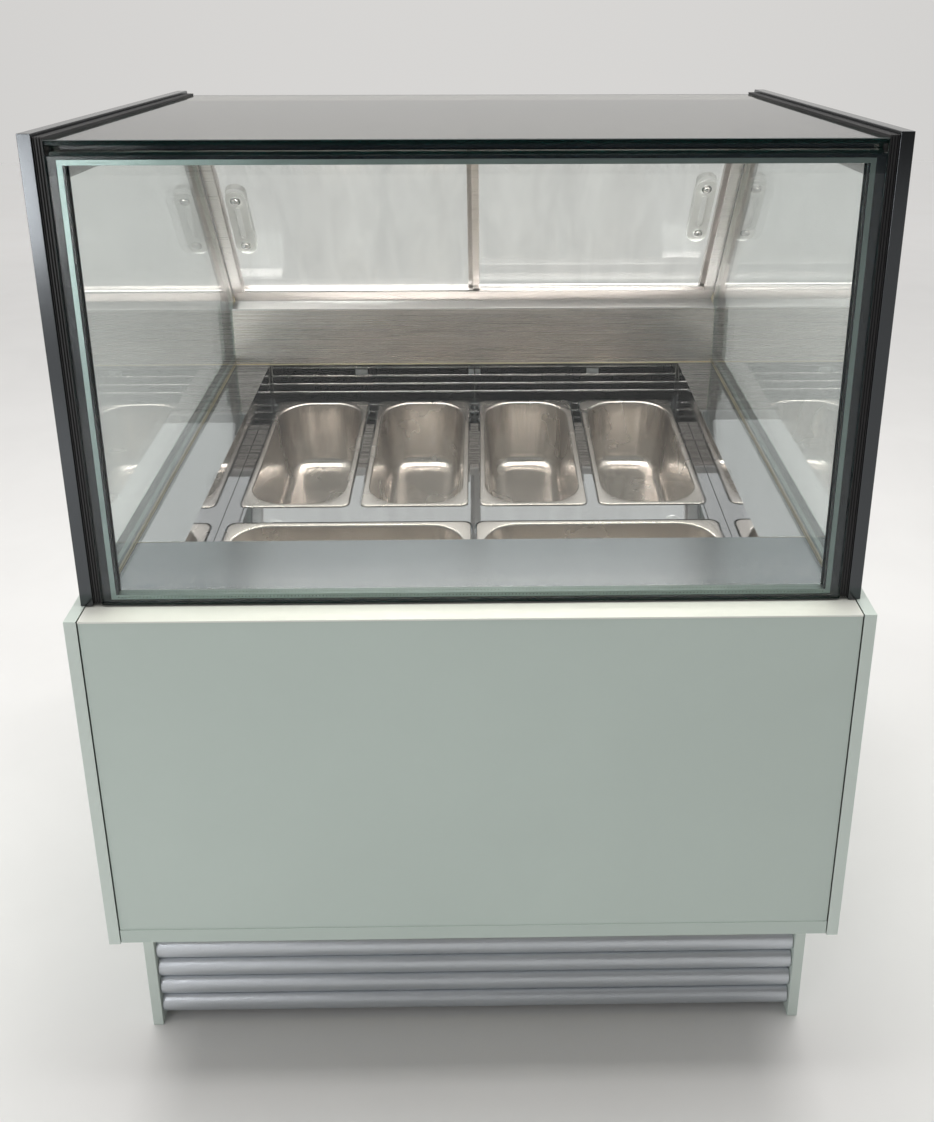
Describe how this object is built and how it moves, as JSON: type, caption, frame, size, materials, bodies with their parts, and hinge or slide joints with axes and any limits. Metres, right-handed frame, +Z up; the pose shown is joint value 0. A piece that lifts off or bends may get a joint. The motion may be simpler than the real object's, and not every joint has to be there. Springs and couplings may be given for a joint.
{
  "type": "scooping display freezer",
  "caption": "Floor-standing ice cream scooping freezer with a square double-glazed canopy, inclined rear sliding doors and lift-out steel pans.",
  "frame": {"origin": "middle of the cabinet footprint on the floor", "axes": "+Z up, +Y from the customer side (glass front) to the operator side (doors), +X to the right seen from the customer side"},
  "size_m": [0.956, 0.9, 1.3],
  "materials": {
    "painted_white": "satin powder coat",
    "stainless_brushed": "brushed",
    "stainless_polished": "polished",
    "anodised_dark": "bright dark anodised",
    "aluminium_white": "white anodised",
    "slat_silver": "hammered silver",
    "galvanised": "galvanised",
    "black_paint": "satin black",
    "black_rubber": "matte",
    "black_plastic": "fine texture",
    "foam": "rigid foam",
    "clear_glass": "clear float",
    "clear_pane": "clear acrylic",
    "spacer": "mill",
    "copper": "copper tube",
    "fins": "finned",
    "screw_steel": "plated"
  },
  "bodies": {
    "cabinet": {"left_side_panel": "painted_white", "right_side_panel": "painted_white", "front_panel": "painted_white", "front_ledge": "painted_white", "rear_panel": "galvanised", "left_plinth": "painted_white", "right_plinth": "painted_white", "plinth_louvres": "slat_silver", "base_tray": "galvanised", "levelling_feet": "black_rubber", "foam_tub": "foam", "well_liner": "stainless_polished", "left_deck_strip": "stainless_polished", "right_deck_strip": "stainless_polished", "front_apron": "stainless_brushed", "back_wall": "stainless_brushed", "vent_grille": "stainless_polished", "pan_support": "stainless_polished", "evaporator_coil": "fins", "evaporator_fan_housing": "galvanised", "compressor": "black_paint", "condenser_coil": "fins", "condenser_fan_housing": "black_paint", "refrigerant_pipes": "copper", "drain_tray_and_pipe": "black_plastic", "left_end_frame": "anodised_dark", "right_end_frame": "anodised_dark", "frame_gaskets": "black_rubber", "left_side_glass": "clear_glass", "right_side_glass": "clear_glass", "front_glass": "clear_glass", "roof_glass": "clear_glass", "glass_spacers": "spacer", "sill_track": "aluminium_white", "head_track": "aluminium_white", "door_jambs": "aluminium_white", "lamp_bar": "aluminium_white", "control_panel": "black_plastic", "power_inlet": "black_plastic", "cabinet_screws": "screw_steel"},
    "left_door": {"left_door_frame": "aluminium_white", "left_door_pane": "clear_pane", "left_door_handle": "stainless_polished"},
    "right_door": {"right_door_frame": "aluminium_white", "right_door_pane": "clear_pane", "right_door_handle": "stainless_polished"},
    "back_pan_a": {"back_pan_a": "stainless_brushed"},
    "back_pan_b": {"back_pan_b": "stainless_brushed"},
    "back_pan_c": {"back_pan_c": "stainless_brushed"},
    "back_pan_d": {"back_pan_d": "stainless_brushed"},
    "front_pan_a": {"front_pan_a": "stainless_brushed"},
    "front_pan_b": {"front_pan_b": "stainless_brushed"},
    "condenser_fan": {"condenser_fan": "fins"},
    "left_evaporator_fan": {"left_evaporator_fan": "black_plastic"},
    "right_evaporator_fan": {"right_evaporator_fan": "black_plastic"},
    "key_set": {"key_set": "black_plastic"},
    "key_up": {"key_up": "black_plastic"},
    "key_down": {"key_down": "black_plastic"},
    "power_rocker": {"power_rocker": "black_plastic"},
    "lamp_rocker": {"lamp_rocker": "black_plastic"}
  },
  "joints": [
    {"name": "left_door_slide", "type": "slide", "parent": "cabinet", "child": "left_door", "axis": [1, 0, 0], "range_m": [0, 0.4]},
    {"name": "right_door_slide", "type": "slide", "parent": "cabinet", "child": "right_door", "axis": [-1, 0, 0], "range_m": [0, 0.4]},
    {"name": "back_pan_a_lift", "type": "slide", "parent": "cabinet", "child": "back_pan_a", "axis": [0, -0.1034, 0.9946], "range_m": [0, 0.14]},
    {"name": "back_pan_b_lift", "type": "slide", "parent": "cabinet", "child": "back_pan_b", "axis": [0, -0.1034, 0.9946], "range_m": [0, 0.14]},
    {"name": "back_pan_c_lift", "type": "slide", "parent": "cabinet", "child": "back_pan_c", "axis": [0, -0.1034, 0.9946], "range_m": [0, 0.14]},
    {"name": "back_pan_d_lift", "type": "slide", "parent": "cabinet", "child": "back_pan_d", "axis": [0, -0.1034, 0.9946], "range_m": [0, 0.14]},
    {"name": "front_pan_a_lift", "type": "slide", "parent": "cabinet", "child": "front_pan_a", "axis": [0, -0.1034, 0.9946], "range_m": [0, 0.14]},
    {"name": "front_pan_b_lift", "type": "slide", "parent": "cabinet", "child": "front_pan_b", "axis": [0, -0.1034, 0.9946], "range_m": [0, 0.14]},
    {"name": "condenser_fan_spin", "type": "hinge", "parent": "cabinet", "child": "condenser_fan", "pos_m": [0, -0.21, 0.138], "axis": [0, 1, 0], "continuous": true},
    {"name": "left_evaporator_fan_spin", "type": "hinge", "parent": "cabinet", "child": "left_evaporator_fan", "pos_m": [-0.15, 0.07, 0.41], "axis": [0, 1, 0], "continuous": true},
    {"name": "right_evaporator_fan_spin", "type": "hinge", "parent": "cabinet", "child": "right_evaporator_fan", "pos_m": [0.15, 0.07, 0.41], "axis": [0, 1, 0], "continuous": true},
    {"name": "key_set_press", "type": "slide", "parent": "cabinet", "child": "key_set", "axis": [0, -1, 0], "range_m": [0, 0.0012], "stiffness_N_per_m": 300},
    {"name": "key_up_press", "type": "slide", "parent": "cabinet", "child": "key_up", "axis": [0, -1, 0], "range_m": [0, 0.0012], "stiffness_N_per_m": 300},
    {"name": "key_down_press", "type": "slide", "parent": "cabinet", "child": "key_down", "axis": [0, -1, 0], "range_m": [0, 0.0012], "stiffness_N_per_m": 300},
    {"name": "power_rocker_tilt", "type": "hinge", "parent": "cabinet", "child": "power_rocker", "pos_m": [-0.392, 0.436, 0.33], "axis": [1, 0, 0], "range_deg": [0, 14]},
    {"name": "lamp_rocker_tilt", "type": "hinge", "parent": "cabinet", "child": "lamp_rocker", "pos_m": [-0.364, 0.436, 0.33], "axis": [1, 0, 0], "range_deg": [0, 14]}
  ]
}
